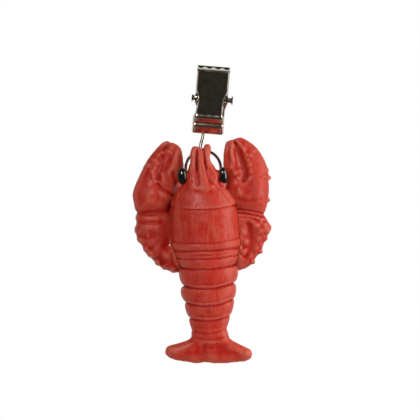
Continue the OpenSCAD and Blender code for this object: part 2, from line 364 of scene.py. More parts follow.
BACK = curve([
    (13, -3.4), (4.9, -2.6), (-2.2, -2.4), (-3.2, 0.5), (-5, 3.6), (-8.5, 6.9), (-13.5, 8.6), (-20.8, 8.8),
    (-25, 8.2), (-30.4, 7.4), (-37.7, 6.2), (-44.3, 5), (-49.8, 3.9), (-54, 2.9), (-57, 2)
], 0.6)
SPREAD = curve([(13, -4.8), (0, -5), (-6, -2.5), (-13, -1.2), (-25, -1), (-57, -0.8)], 1.5)

# Plates of the abdomen: top, bottom, side lobe on the left and on the right, swell at the front
PLATES = [
    (-24.2, -27.1, 0.25, 0.25, 0.3),
    (-27.1, -30.9, 0.5, 0.45, 0.4),
    (-30.9, -38.1, 1.45, 1.6, 0.6),
    (-38.1, -44.5, 1.75, 1.1, 0.6),
    (-44.5, -50, 1.05, 0.8, 0.5),
    (-50, -54.4, 0.8, 0.3, 0.35),
]


def plate_profile(u):
    """Front swell and side lobes of the plates along the body, and the creases between them."""
    swell, left, right, crease = (np.zeros_like(u) for _ in range(4))
    for top, bottom, lobe_left, lobe_right, rise in PLATES:
        t = np.clip((top - u) / (top - bottom), 0, 1)
        arch = np.sqrt(np.clip(4 * t * (1 - t), 0, 1))
        slope = np.where((t > 0) & (t < 1), t, 0)
        swell += rise * (0.75 * arch + 0.45 * slope)
        left += lobe_left * arch
        right += lobe_right * arch
        crease += 0.24 * bell(u - bottom, 0.34)
        if top - bottom > 4.5:
            swell += 0.20 * bell(u - bottom - 0.95, 0.3) - 0.14 * bell(u - bottom - 1.5, 0.25)
    return swell, left, right, crease


def body_core(x, y, z):
    """The body's main form, from the rostrum's root to the last plate."""
    lean = math.radians(BODY_LEAN)
    xb = x * math.cos(lean) + z * math.sin(lean)
    zb = -x * math.sin(lean) + z * math.cos(lean)
    u = zb - np.clip((-21 - zb) / 23, 0, 1.05) * 0.026 * xb ** 2
    swell, lobe_left, lobe_right, crease = plate_profile(u)
    wide = np.where(xb < 0, LEFT_SIDE(u) + lobe_left, RIGHT_SIDE(u) + lobe_right)
    mid = SPREAD(zb)
    front, back = mid - FRONT(zb) + swell, BACK(zb) - mid + 0.6 * swell
    lean_y = y - mid
    tall = np.where(lean_y < 0, front, np.maximum(back, 0.5))
    across, deep = np.abs(xb) / wide, np.abs(lean_y) / tall
    rho = (across ** 2.15 + deep ** 2.15) ** (1 / 2.15)
    d = np.hypot(xb, lean_y) * (1 - 1 / np.maximum(rho, 0.05))
    d = np.maximum(d, np.maximum(zb - 7, -57 - zb))
    carapace = zb - 0.009 * xb ** 2
    shown = lean_y < 3
    # The head plate's lower edge stands proud of the plate behind it
    lip = np.where(carapace > -8.7, np.exp(-(carapace + 8.7) / 3.5), 0) * ease(-8.9, -8.55, carapace)
    d -= 0.42 * lip * ease(-11, -5, xb) * shown
    d += 0.16 * bell(carapace + 9, 0.3) * ease(-11, -5, xb) * shown
    # Border of the carapace: a fine double line, a raised band, and a step in to the abdomen
    d += 0.16 * bell(carapace + 21.35, 0.2) + 0.12 * bell(carapace + 21.95, 0.18)
    d -= 0.30 * ease(-21.4, -22.3, carapace) * ease(-24.2, -23.6, carapace)
    d += 0.24 * bell(u + 24.15, 0.38)
    return d + crease


FAN_OUTLINE = [
    (-3.2, -53.2), (-4.7, -56.5), (-9.2, -58.3), (-13, -59.4), (-14, -61.4), (-13.3, -63), (-10.2, -64.5),
    (-5.5, -65.2), (-2.4, -65.7), (1.3, -65.2), (4.5, -65.7), (7.5, -65.7), (11.5, -65.3), (15, -65),
    (17.5, -63.9), (18, -61.9), (17.2, -60.5), (14.2, -59.1), (9.9, -56.6), (7.6, -53.2)
]

ROSTRUM_OUTLINE = [
    (-4.8, 11.9), (-4.2, 13.8), (-3.7, 14.4), (-1.9, 14.4), (-1.2, 13.6), (-0.6, 13.4), (0.1, 13.8),
    (0.4, 14.7), (0.9, 15.2), (2.4, 15.1), (3, 13.2), (2.7, 11.4), (2.6, 9.8), (3, 8.2), (4.3, 6.2),
    (5.6, 3), (3, -1.5), (-4, -1.5), (-6.2, 3), (-5.2, 6.6), (-4.7, 9.4)
]


def sculpt_body():
    clay = Clay((-17, -14.5, -68), (20.5, 11, 17), BODY_VOXEL)
    x, y, z = clay.whole()
    clay.d = np.minimum(body_core(x, y, z), FAR).astype(np.float32)

    # Tail fan
    fan_middle = curve([(-53, -1), (-66, -1.6)], 1)
    fan_depth = curve([(-52, 4.4), (-56, 3.4), (-60, 2.6), (-66, 1.8)], 1)
    clay.add(pillow(FAN_OUTLINE, fan_middle, fan_depth, 2.8), 2.4)
    clay.emboss([(2.9, -58.5), (2.8, -62.5)], 2.6, 0.45)
    for path in (
            [(0.6, -58.4), (-0.1, -62), (0.2, -65.2)], [(5.1, -58.4), (5.8, -62), (5.6, -65.2)],
            [(-2.6, -58.3), (-6.5, -61.4), (-8.8, -64.4)], [(8.2, -58.3), (11.2, -61.2), (13.2, -64.6)]
    ):
        clay.emboss(path, [0.6, 1.3], -0.1)
    clay.emboss([(-4, -60.2), (-10.5, -61.4)], 1.2, 0.25)
    clay.emboss([(9.8, -60), (15.2, -62)], 1.2, 0.25)
    clay.emboss([(-2.6, -56.4), (2.8, -57), (7.4, -56)], 0.3, -0.22)
    clay.emboss([(-0.8, -59.6), (2.8, -60.1), (6.6, -59.3)], 0.35, -0.14)

    # Rostrum: two side ridges and a middle one, with narrow grooves between that fade on the head
    head_middle = curve([(15, -5), (12, -5.3), (2, -5.8)], 1)
    head_depth = curve([(15.5, 1.1), (13, 1.8), (9, 2.6), (5, 3), (2, 2.9)], 0.8)
    clay.add(pillow(ROSTRUM_OUTLINE, head_middle, head_depth, 0.9, 1), 1.6)
    clay.emboss([(-0.9, 12.6), (-0.8, 8), (-0.4, 3), (0.2, -1.5)], [1.2, 1.6, 2.8], 0.2)
    clay.emboss([(1.9, 14), (1.9, 10.8), (2.5, 8.4)], [0.8, 1, 1.4], 0.12)
    clay.emboss([(-2.3, 13.4), (-2.4, 9.5), (-2.3, 5.6)], [0.3, 0.36, 0.4], -0.34)
    clay.emboss([(-2.4, 7.5), (-2.3, 4.4), (-2.1, 0.6)], [0.3, 0.55, 0.9], -0.2)
    clay.emboss([(0, 13.2), (0.5, 9.2), (1, 6.2)], [0.3, 0.34, 0.4], -0.24)
    clay.emboss([(0.7, 8.2), (1.3, 4.4), (2.2, 0.8)], [0.3, 0.55, 0.9], -0.16)
    clay.emboss([(3.1, 13), (2.6, 11.5), (2.7, 9.9)], 0.45, -0.25)
    clay.emboss([(-5.6, 4.6), (-5.9, 1.4)], 0.7, -0.3)

    # Eye stalks
    for side, eye_z in ((-1, 3.3), (1, 3.8)):
        clay.add(rod([(side * 4.2, -6.2, eye_z + 1), (side * 6.2, -6.2, eye_z + 0.8)], [0.9, 1.1]), 0.6)
        clay.add(rod([(side * 5, -6.2, eye_z + 0.2), (side * 6.8, -6.1, eye_z)], [1.5, 1.4]), 0.7)

    # Cheeks under the eyes
    clay.add(ball((-8.6, -5.6, 0), (1.3, 1.6, 1.8)), 0.9)
    clay.add(ball((7.3, -5.8, 0.4), (1.3, 1.6, 1.8)), 0.9)

    # Soft creases of the carapace
    clay.emboss([(-9.8, -2), (-11, -6.5), (-11.5, -11), (-11.6, -15)], [0.35, 0.6, 0.3], -0.4)
    clay.emboss([(2, 1.8), (5.8, -1.4), (9.3, -5), (11, -7.3)], [0.4, 0.6, 0.35], -0.2)
    clay.emboss([(-4.4, 1.2), (-7, -2), (-9.2, -5.4)], [0.4, 0.6, 0.35], -0.16)
    clay.emboss([(8.6, -12.5), (8.9, -19.5)], [0.3, 0.4], -0.1)
    clay.emboss([(11, -7.3), (11.9, -6.6)], 0.3, -0.35)
    # Strokes on the first small plate
    for start, length, rise in ((-3.6, 5.2, 0.5), (1.2, 4.4, 0.8), (4.8, 5, 1), (-1, 3.6, 0.2)):
        base = -25.6 - 0.25 * (start % 2)
        clay.emboss([(start, base), (start + length, base + rise)], [0.25, 0.15], -0.16)

    sculpt_belly(clay)
    return clay


def sculpt_belly(clay):
    """The underside: mouth parts, folded walking legs and small swimming limbs."""
    clay.add(rod([(-0.4, 3.5, -6.5), (-0.1, 7.2, -12), (0.4, 7.6, -22)], [2.2, 2.4, 2.4]), 2)
    for side in (-1, 1):
        for i in range(4):
            z = -9.5 - 4.0 * i
            hip, knee, foot = ((side * 2.2, 8.6, z), (side * 8.6, 8.2, z + 1.4), (side * 4.6, 10.2, z - 5.2))
            clay.add(rod(spline([hip, (side * 5.8, 9.2, z + 1.4), knee], 4), [1.1, 0.95]), 0.5)
            clay.add(rod(spline([knee, (side * 7.6, 9.6, z - 1.8), foot], 4), [0.9, 0.45]), 0.4)
        for i in range(4):
            z = -32.5 - 5.6 * i
            clay.add(rod([(side * 1.4 + 1.2, 6.9 - 0.9 * i, z), (side * 4.2 + 1.4, 6.6 - 0.9 * i, z - 2.6)],
                         [0.8, 0.5]), 0.6)


# ---- the claws

LEFT_PALM = [
    (-12.6, 16.3), (-14.7, 16.1), (-17.4, 13.6), (-20.9, 9.1), (-23.8, 3.2), (-26, -2.4), (-25.7, -6.2),
    (-24.4, -10), (-19.5, -11.6), (-14, -11), (-10.6, -6.5), (-9, 0), (-9.4, 7), (-11.2, 13.6)
]
LEFT_THUMB = [
    (-10.3, 15.3), (-8.3, 13.7), (-7.5, 9.8), (-7.4, 5.2), (-8.6, 1), (-11.8, -2.2), (-14.7, -0.9),
    (-16, 2.2), (-15.3, 6.5), (-13.6, 10.5), (-12, 14)
]
LEFT_FOREARM = [
    (-21.5, -8.6), (-24.3, -10.7), (-24.5, -12.6), (-25, -15.3), (-24.9, -17.3), (-24.1, -19.9),
    (-22, -23.3), (-20.6, -25.4), (-17.6, -28.6), (-15.2, -30.4), (-11.6, -31.9), (-7, -31.6),
    (-6.5, -25.5), (-8.6, -22), (-9, -15), (-10, -9.5), (-16, -8.2)
]
RIGHT_PALM = [
    (10.9, 16.3), (12.2, 17.5), (14.2, 17.8), (16.5, 16.6), (19.7, 14.1), (22.6, 9.6), (24, 5.2), (24.3, 0),
    (24, -4.6), (22.3, -10.4), (17, -11.8), (12.2, -9), (8.6, -4), (8, 1.5), (8.8, 8), (10.2, 13)
]
RIGHT_THUMB = [
    (10.6, 16.6), (9.2, 16.5), (8.3, 15.6), (7.7, 12.8), (7.5, 10), (7.5, 6.5), (8.3, 3), (9.5, -1),
    (11.8, -3.4), (13.6, -2.4), (14.9, 1.5), (15, 5), (13.8, 9.5), (12.3, 12.5), (11.2, 15.6)
]
RIGHT_FOREARM = [
    (20, -8.6), (22, -10.9), (23.4, -12.3), (25, -15.3), (24.6, -17.3), (23.2, -19.4), (22.4, -21.8),
    (21.2, -24.6), (19.5, -26.7), (18, -29), (15.6, -30.7), (11.5, -31.7), (7.5, -31), (8, -25), (11, -20),
    (11, -10), (15, -8.4)
]


# Middle plane and half thickness of both arms by height, and the claws' middle plane
ARM_MIDDLE = curve([(-9, 0), (-16, 0.5), (-24, 2.2), (-32, 3.4)], 1.5)
ARM_DEPTH = curve([(-8, 4), (-15, 4.9), (-24, 4.6), (-32, 4.2)], 1.5)
PALM_Y = -0.3


def level(y):
    """A middle plane that is the same at every height."""
    return lambda z: y


def free_of_body(clay):
    """Cuts the body's own form out of a claw, all but a sliver, so that the two only meet."""
    x, y, z = clay.whole()
    sliver = 0.04
    clay.d = -soft_min(-clay.d, body_core(x, y, z) + sliver, 0.15).astype(np.float32)


def sculpt_left_arm():
    clay = Clay((-28.5, -8.5, -34), (-4, 9.5, 18), ARM_VOXEL)
    palm_depth = curve([(17, 1.6), (12, 3), (5, 4.5), (-5, 5.2), (-12, 4.4)], 1)
    clay.add(pillow(LEFT_PALM, level(PALM_Y), palm_depth, 6.5, 5))
    clay.emboss([(-13, 13.6), (-14.6, 9.4), (-16.2, 5.6), (-16.6, 3.2)], [1.2, 2, 2, 1.2], -1)
    thumb_depth = curve([(16, 1.8), (11, 3.2), (5, 4), (-2, 3.6)], 1)
    clay.add(pillow(LEFT_THUMB, level(-1.5), thumb_depth, 4.6, 4), 1.2)
    clay.add(rod([(-11.7, -1.5, 14.4), (-12.7, -1.9, 12.2), (-14.2, -1.6, 9)], [1.1, 1.7, 1.6]), 1)
    # Teeth along the inner side of the outer finger
    clay.bumps([
        (-15.3, 12.3, 0.9, 0.5), (-16.7, 11.2, 0.8, 0.5), (-18, 9.4, 0.9, 0.55), (-16.7, 8.2, 0.8, 0.5),
        (-17.7, 6.6, 0.9, 0.45), (-18.8, 5.2, 0.9, 0.5), (-18.2, 3.4, 0.9, 0.45), (-20.1, 7.2, 0.9, 0.2),
        (-17.5, 1.6, 0.9, 0.3)
    ])
    clay.emboss([(-20.4, 8), (-23, 2.8), (-24.6, -2), (-24.5, -6.5)], [0.5, 0.8, 0.6], 0.25)
    # The moving finger's root, and the crease round it
    clay.emboss([(-15.4, 4.2), (-14.4, 1.2)], [0.9, 1.3], 0.5)
    clay.emboss([(-9.6, 12.5), (-10.6, 8), (-12.6, 4.4)], [0.9, 1.4, 1], 0.4)
    clay.emboss([(-16.9, 0.4), (-15.2, -1.4), (-12.2, -2.9), (-10.4, -4.4)], [0.7, 0.9, 0.9], -0.55)
    clay.emboss([(-11.2, 4.8), (-10.2, 1.5), (-9.6, -1.8)], 0.9, -0.5)
    clay.bumps([
        (-18.5, -3, 1.4, 0.45), (-15, -3.4, 1.2, 0.4), (-20, 0.4, 1.3, 0.2), (-20.6, -5.8, 2, 0.25),
        (-16.4, -6.6, 1.6, 0.15)
    ])
    # Wrist and arm
    clay.add(pillow(LEFT_FOREARM, ARM_MIDDLE, ARM_DEPTH, 5, 4), 1.6)
    clay.emboss([(-24.9, -10.4), (-20, -10.3), (-15, -9.4)], [1, 0.9, 1.4], -0.4)
    clay.emboss([(-24.8, -13.7), (-20, -13.8), (-15.5, -13.2)], [0.9, 0.7, 1.2], -0.3)
    clay.emboss([(-24.3, -18.6), (-20.6, -19.2), (-16.5, -18.4)], [0.9, 0.8, 1.2], -0.3)
    clay.emboss([(-10.6, -8), (-11.6, -15.5), (-12.8, -21.5)], [2.4, 3.4, 3], -2.2)
    clay.emboss([(-21, -11.9), (-17.4, -12)], 0.9, 0.4)
    clay.emboss([(-21.4, -15.4), (-17.2, -15.6)], 1.4, 0.5)
    clay.emboss([(-22.2, -24.4), (-19, -22.9), (-16.6, -20.6)], [0.9, 0.8], -0.32)
    clay.emboss([(-14.4, -31.2), (-15.8, -28), (-15.8, -24.8)], [0.8, 0.7], -0.3)
    clay.emboss([(-10.2, -31.8), (-11.2, -28.6), (-11.2, -25.4)], [0.8, 0.7], -0.28)
    # Knobs along the outer edge
    for bx, bz, r in (
            (-23.9, -12, 1.1), (-24, -16.4, 1.4), (-23.3, -19.8, 1.2), (-21.1, -23.5, 1.1),
            (-19.7, -25.4, 1), (-16.8, -28.5, 1.1), (-14.4, -30.2, 1), (-11, -31.2, 1.2)
    ):
        clay.add(ball((bx, 0.8, bz), (r, 2.6, r)), 1.3)
    clay.bumps([
        (-22.6, -21.3, 1.1, 0.4), (-19.4, -25.2, 1.5, 0.45), (-17.8, -26, 0.9, 0.4),
        (-13.4, -26, 1.1, 0.55), (-16.6, -28.4, 1.2, 0.4), (-12.6, -29.8, 1.4, 0.4), (-23.4, -16.8, 1, 0.3),
        (-20.4, -18.6, 0.6, 0.3), (-15.8, -21.4, 1.3, 0.3)
    ])
    # The gap that shows between the arm and the body
    for hole_x, hole_z, r in ((-12.5, -20.6, 0.16), (-12.55, -22.1, 0.3)):
        clay.cut(rod([(hole_x, -9, hole_z), (hole_x, 9, hole_z)], r), 0.3)
    free_of_body(clay)
    return clay


def sculpt_right_arm():
    clay = Clay((5, -8.5, -34), (27.5, 9.5, 20), ARM_VOXEL)
    palm_depth = curve([(18.5, 1.6), (13, 3.1), (6, 4.6), (-4, 5.2), (-12, 4.4)], 1)
    clay.add(pillow(RIGHT_PALM, level(PALM_Y), palm_depth, 6.5, 5))
    clay.emboss([(11.6, 15.6), (12.8, 11.6), (14.4, 8), (15.4, 4.6), (14.8, 2)],
                [0.5, 1, 1.4, 1.4, 0.9], -1.05)
    thumb_depth = curve([(17, 1.8), (11, 3.1), (5, 3.8), (-3, 3.4)], 1)
    clay.add(pillow(RIGHT_THUMB, level(-1.4), thumb_depth, 4.4, 4), 1)
    clay.add(rod([(10.8, -1.4, 15.3), (11.6, -1.5, 13.4), (13.2, -1.4, 9.4)], [0.8, 1.2, 1.4]), 0.9)
    # Lengthwise ridges and bumps on the inner finger
    clay.emboss([(10.5, 15.2), (10.7, 12), (10.9, 9.2)], [0.6, 0.7, 0.5], 0.32)
    clay.emboss([(12.3, 12.4), (12.8, 9.8), (13.3, 7.6)], [0.5, 0.6, 0.5], 0.35)
    clay.emboss([(11.5, 13.4), (11.8, 9.8), (12.4, 6.6)], [0.5, 0.7, 0.5], -0.16)
    clay.emboss([(9.4, 14.4), (9.2, 10.6), (9.6, 7.6)], [0.35, 0.5, 0.35], -0.15)
    clay.bumps([
        (11.7, 4.6, 0.9, 0.6), (11.8, 0.8, 1, 0.55), (13.4, 5.4, 0.6, 0.4), (13.4, -2.8, 1.3, 0.6),
        (10.2, 6.6, 0.8, 0.3), (12.9, 2.6, 0.7, 0.35),
        # and on the outer one
        (16, 11.4, 0.7, 0.5), (17.3, 11.1, 0.6, 0.45), (16.9, 7.8, 0.9, 0.5), (14.9, 13.8, 0.8, 0.45),
        (16.3, 9.4, 0.6, 0.35), (17.4, 5, 0.8, 0.35), (17, 2.2, 0.9, 0.3), (18.4, 13, 0.8, 0.2)
    ])
    clay.emboss([(12.4, 16.6), (13.6, 15.2), (15.2, 12.4)], [0.5, 0.6, 0.4], 0.5)
    # Spurs on the outer edge
    for sx, sz, r in ((24, 2.9, 1.15), (23.7, -5.3, 1.1), (23.6, 5.9, 0.6)):
        clay.add(ball((sx, -0.4, sz), (r, 1.8, r * 0.7)), 0.9)
    clay.cut(ball((25.2, -0.4, 1.4), (1, 3.4, 0.7)), 0.6)
    clay.emboss([(23, 3.4), (21.6, 2.8)], [0.6, 0.3], 0.3)
    clay.emboss([(20.4, 2), (20.2, -4.4)], 2.2, 0.4)
    clay.emboss([(12.4, -4.8), (16.4, -5.6), (21, -5)], 0.8, -0.2)
    # Wrist and arm
    clay.add(pillow(RIGHT_FOREARM, ARM_MIDDLE, ARM_DEPTH, 5, 4), 1.6)
    for z0, deep in ((-9.6, -0.34), (-10.9, -0.34), (-12.4, -0.25)):
        clay.emboss([(12.6, z0 + 0.9), (17, z0 + 0.4), (22.8, z0 - 0.9)], 0.35, deep)
    # The deep hollow between the arm and the row of lumps by the body
    clay.emboss([(16.6, -14.4), (17.4, -18), (17.6, -22), (15.8, -26)], [1.2, 1.9, 1.6, 0.9], -0.8)
    clay.bumps([
        (19.4, -14.8, 1.2, 0.6), (22.8, -14.4, 0.9, 0.5), (21.4, -12.7, 0.8, 0.5), (23.6, -16.6, 1, 0.5),
        (21.2, -17, 1, 0.45), (22.6, -19, 0.9, 0.4), (20.6, -19.8, 1, 0.45), (21.6, -22, 0.9, 0.4),
        (19.8, -23.4, 1.1, 0.45), (19.9, -25.4, 0.9, 0.4), (17.8, -26.4, 1.2, 0.4), (16.8, -28.8, 1, 0.4),
        (13.8, -29.4, 1.4, 0.4), (14.5, -17.4, 1.4, 1), (13.6, -19.6, 1.1, 0.8), (15.7, -20.9, 1, 0.8),
        (15.1, -24.6, 1.2, 1), (13.2, -26.2, 1.1, 0.7), (13.2, -22.8, 1.1, 0.8), (18, -13.4, 0.7, 0.4),
        (20, -12, 0.7, 0.4)
    ])
    clay.emboss([(14.6, -22), (14.6, -23.6), (15.6, -22.6)], 0.4, -0.4)
    clay.emboss([(13.8, -25.4), (15, -26.6)], 0.4, -0.35)
    for bx, bz, r in (
            (24.2, -15.4, 1), (23, -19.6, 0.9), (21.2, -24.4, 0.9), (18.3, -28.2, 1), (22.3, -12.4, 0.8)
    ):
        clay.add(ball((bx, 0.8, bz), (r, 1.6, r)), 0.9)
    free_of_body(clay)
    return clay


# ---- wires

def sweep(name, points, radius, sides):
    """A round wire along points in the row frame, in metres, with rounded ends."""
    p = [Vector(q) for q in points]
    rings, normal = [], None
    for i, at in enumerate(p):
        along = (p[min(i + 1, len(p) - 1)] - p[max(i - 1, 0)]).normalized()
        if normal is None:
            normal = along.orthogonal().normalized()
        normal = (normal - along * normal.dot(along)).normalized()
        rings.append((at, along, normal.copy(), along.cross(normal), radius))

    def cap(ring, sign):
        """Smaller and smaller rings that round off an end."""
        at, along, u, v, r = ring
        return [(at + along * sign * r * math.sin(a), along, u, v, r * math.cos(a))
                for a in (math.radians(d) for d in (25, 50, 70, 85))]

    rings = cap(rings[0], -1)[::-1] + rings + cap(rings[-1], 1)
    verts, faces = [], []
    for at, along, u, v, r in rings:
        for j in range(sides):
            a = 2 * math.pi * j / sides
            verts.append(at + u * r * math.cos(a) + v * r * math.sin(a))
    last = (len(rings) - 1) * sides
    for start in range(0, last, sides):
        for j in range(sides):
            k = (j + 1) % sides
            faces.append((start + j, start + k, start + sides + k, start + sides + j))
    faces.append(tuple(range(sides))[::-1])
    faces.append(tuple(range(last, last + sides)))
    mesh = new_mesh(name, verts, faces)
    mesh.polygons.foreach_set("use_smooth", [True] * len(mesh.polygons))
    return mesh


# ---- the clip

# The clip's own frame: nose at the origin, leaning towards the viewer and to the right, as in the CAD
CLIP_TURN = Matrix.Rotation(math.radians(4.5), 3, "Y") @ Matrix.Rotation(math.radians(20), 3, "X")
# All in millimetres: the sheet's thickness, the pin's distance below the nose and its holes' radius
SHEET = 0.45
PIN_DROP = 11.8
PIN_HOLE_R = 1.0
# The ears' outer radius, and the bends' between face and flange and at the lip
EAR_R = 1.75
BEND_R = 0.8
LIP_R = 0.55
# How far each flange leans in from its rear edge to its bend
SPLAY = 0.32
# The lip's wavy edge: length of a wave and its swing
TEETH_PITCH = 3.17
TEETH_SWING = 1.1


def in_clip(x, y, z):
    """A point of the clip's own frame, in millimetres, in the row frame, in metres."""
    return CLIP_TURN @ Vector((x, y, z)) * MM


def jaw_mesh(name, face, back, half, length, swing, relief=None, droop=0.0, askew=0.0):
    """A pressed jaw: a face with rounded bends into two flanges, an ear on each, and a toothed lip.
    face, back and half give the face's y, the flange's rear edge and the half width at each height;
    relief raises the face at x, z; the lip falls by droop for each millimetre back; askew shifts the
    tail sideways. The jaw is drawn as the front one; the rear one is turned over afterwards."""
    ear_heights = -PIN_DROP + EAR_R * np.sin(np.radians(np.arange(-90, 91, 7.5)))
    heights = [np.arange(-length, -20.0, 0.1), np.arange(-20, -0.6, 0.22), [-0.6], ear_heights]
    heights = np.unique(np.concatenate(heights))[::-1]
    across = 37
    verts, rows = [], []
    for z in heights:
        w, front, rear = half(z), face(z), back(z)
        if abs(z + PIN_DROP) < EAR_R:
            rear = max(rear, math.sqrt(EAR_R ** 2 - (z + PIN_DROP) ** 2))
        r = min(BEND_R, 0.45 * (rear - front))
        side = [(w - SPLAY * t, rear + (front + r - rear) * t) for t in np.linspace(0, 1, 7)]
        w -= SPLAY
        side += [(w - r + r * math.cos(a), front + r - r * math.sin(a))
                 for a in np.radians(range(15, 91, 15))]
        flat = [(x, front) for x in np.linspace(-(w - r), w - r, across)][1:-1]
        section = [(-x, y) for x, y in side] + flat + side[::-1]
        row = []
        for x, y in section:
            lift = relief(x, z) if relief and abs(x) < w - r + 0.01 else 0.0
            row.append(len(verts))
            verts.append((x + askew * ease(-8, -18, z), y - lift, z))
        rows.append(row)
    # The lip: over a bend at the nose and back to the wavy edge
    edge = len(rows[0]) // 2 - across // 2
    w = half(0) - 0.15
    xs = np.linspace(-w, w, across)
    turn = [(face(0) + LIP_R * (1 - math.sin(a)), -LIP_R * (1 - math.cos(a)))
            for a in np.radians((90, 60, 30, 0))]
    lip_rows = [[(x, y0, z0) for x in xs] for y0, z0 in turn]
    lip_y = turn[-1][0]
    for t in (0.4, 0.75, 1.0):
        reach = [(swing * math.cos(2 * math.pi * x / TEETH_PITCH) - 0.05 - lip_y) * t for x in xs]
        lip_rows.append([(x, lip_y + far, -droop * far) for x, far in zip(xs, reach)])
    previous = rows[0][edge:edge + across]
    faces = []
    for line in lip_rows:
        row = []
        for p in line:
            row.append(len(verts))
            verts.append(p)
        faces += [(previous[i], previous[i + 1], row[i + 1], row[i]) for i in range(across - 1)]
        previous = row
    for a, b in zip(rows[:-1], rows[1:]):
        faces += [(a[i], b[i], b[i + 1], a[i + 1]) for i in range(len(a) - 1)]
    return new_mesh(name, verts, faces)


def pin_bar():
    """A round bar where the pin goes, for cutting the ears' holes."""
    reach, sides = 9, 40
    verts = [(x, PIN_HOLE_R * math.cos(a), -PIN_DROP + PIN_HOLE_R * math.sin(a))
             for x in (-reach, reach) for a in np.linspace(0, 2 * math.pi, sides, endpoint=False)]
    faces = [(i, (i + 1) % sides, sides + (i + 1) % sides, sides + i) for i in range(sides)]
    faces += [tuple(range(sides))[::-1], tuple(range(sides, 2 * sides))]
    return new_object("bar", new_mesh("bar", verts, faces))


def slot_block():
    """A block for cutting the slot above the rear jaw's crossbar."""
    low, high = -22.14, -20.7
    verts = [(x, y, z) for x in (-4, 4) for y in (-9, -3) for z in (low, high)]
    faces = [(0, 1, 3, 2), (4, 6, 7, 5), (0, 4, 5, 1), (2, 3, 7, 6), (0, 2, 6, 4), (1, 5, 7, 3)]
    return new_object("slot", new_mesh("slot", verts, faces))


def finish_jaw(mesh, mirrored, *cutters):
    """Gives the sheet its thickness, cuts its holes, and puts it in the row frame."""
    obj = new_object("jaw", mesh)
    solid = obj.modifiers.new("sheet", "SOLIDIFY")
    solid.thickness, solid.offset, solid.use_even_offset = SHEET, -1, False
    for tool in cutters:
        hole = obj.modifiers.new("hole", "BOOLEAN")
        hole.object, hole.operation, hole.solver = tool, "DIFFERENCE", "EXACT"
    result = bpy.data.meshes.new_from_object(obj.evaluated_get(bpy.context.evaluated_depsgraph_get()))
    bpy.data.objects.remove(obj)
    for tool in cutters:
        bpy.data.objects.remove(tool)
    flip = Matrix.Diagonal((1, -1, 1)) if mirrored else Matrix.Identity(3)
    result.transform((CLIP_TURN @ flip * MM).to_4x4())
    if mirrored:
        result.flip_normals()
    result.polygons.foreach_set("use_smooth", [True] * len(result.polygons))
    result.set_sharp_from_angle(angle=math.radians(38))
    return result


def make_clip():
    """The two pressed jaws."""
    # The flanges' rear edge is the same on both jaws down to the pin
    upper = [(0.5, -1.4), (-0.45, -1.4), (-6.5, -2.2), (-9.8, -2.3), (-13.9, -2.3)]
    back = curve(upper + [(-15.6, -3.1), (-16.8, -2.9), (-20.3, -1.4), (-24.8, 0.3)], 0.15)
    front_face = curve([
        (0.5, -3), (-0.4, -3), (-11.8, -3.95), (-14.8, -4.05), (-16.6, -3.85), (-17.35, -4.35),
        (-20.45, -2.75), (-21.05, -3.15), (-25, -1.3)
    ], 0.07)
    front_half = curve([(0.5, 6), (-7.8, 6), (-10.5, 4.95), (-16.4, 4.95), (-18, 5.8), (-24.3, 5.9)], 0.3)
    rear_face = curve([(0.5, -3), (-0.4, -3), (-11.8, -4), (-15.5, -4.3), (-23.2, -6.66)], 0.25)
    rear_back = curve(upper + [(-15.5, -3.1), (-23.2, -5.5)], 0.15)
    rear_half = curve([(0.5, 6), (-14.2, 6), (-16.5, 5.2), (-23.2, 5.2)], 0.3)

    def pad_relief(x, z):
        """The two raised panels of the thumb pad."""
        side = ease(4.9, 4.3, abs(x))
        upper = ease(-17.6, -18, z) * ease(-20.1, -19.8, z)
        lower = ease(-21.4, -21.8, z) * ease(-24.8, -24.3, z)
        return 0.14 * side * (upper + lower)

    front = jaw_mesh("front_jaw", front_face, back, front_half, 24.8, TEETH_SWING, pad_relief, askew=-0.5)
    front = finish_jaw(front, False, pin_bar())
    rear = jaw_mesh("rear_jaw", rear_face, rear_back, rear_half, 23, -TEETH_SWING, droop=0.47)
    rear = finish_jaw(rear, True, pin_bar(), slot_block())
    place("front_jaw_pressed", front, NICKEL, "front_jaw", "front_jaw")
    place("rear_jaw_pressed", rear, NICKEL, "clip", "rear_jaw")


def make_spring():
    """The torsion spring: a coil on the pin, with a leg on each tail."""
    turns, coil_r, half, wire_r = 3.5, 1.75, 2.0, 0.3
    # Where the legs end: their height, and y on the rear and on the front jaw
    leg_z, rear_y, front_y = -16.2, 3.3, -3.1
    coil = [(half * (2 * a / (360 * turns) - 1), coil_r * math.cos(math.radians(a)),
             -PIN_DROP + coil_r * math.sin(math.radians(a))) for a in np.arange(0, 360 * turns + 1, 10)]
    rear_leg = [(-half, rear_y + (coil_r - rear_y) * t, leg_z + (-PIN_DROP - leg_z) * t)
                for t in (0, 0.3, 0.6, 0.85)]
    front_leg = [(half, -coil_r + (front_y + coil_r) * t, -PIN_DROP + (leg_z + PIN_DROP) * t)
                 for t in (0.15, 0.4, 0.7, 1)]
    path = [in_clip(*p) for p in rear_leg + coil + front_leg]
    obj = new_object("torsion_spring_wire", sweep("torsion_spring", path, wire_r * MM, 12))
    obj.data.materials.append(SPRING)
    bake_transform(obj)
    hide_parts("torsion_spring")


# ---- materials

def new_material(name):
    """A material and its node tree."""
    mat = bpy.data.materials.new(name)
    mat.use_nodes = True
    return mat, mat.node_tree


def feed(tree, node, inputs):
    """Links outputs to a node's inputs, by name or number, or sets them to plain values."""
    for key, value in inputs.items():
        if isinstance(value, bpy.types.NodeSocket):
            tree.links.new(value, node.inputs[key])
        else:
            node.inputs[key].default_value = value


def surface(tree, inputs):
    """Feeds the material's surface."""
    feed(tree, tree.nodes["Principled BSDF"], inputs)


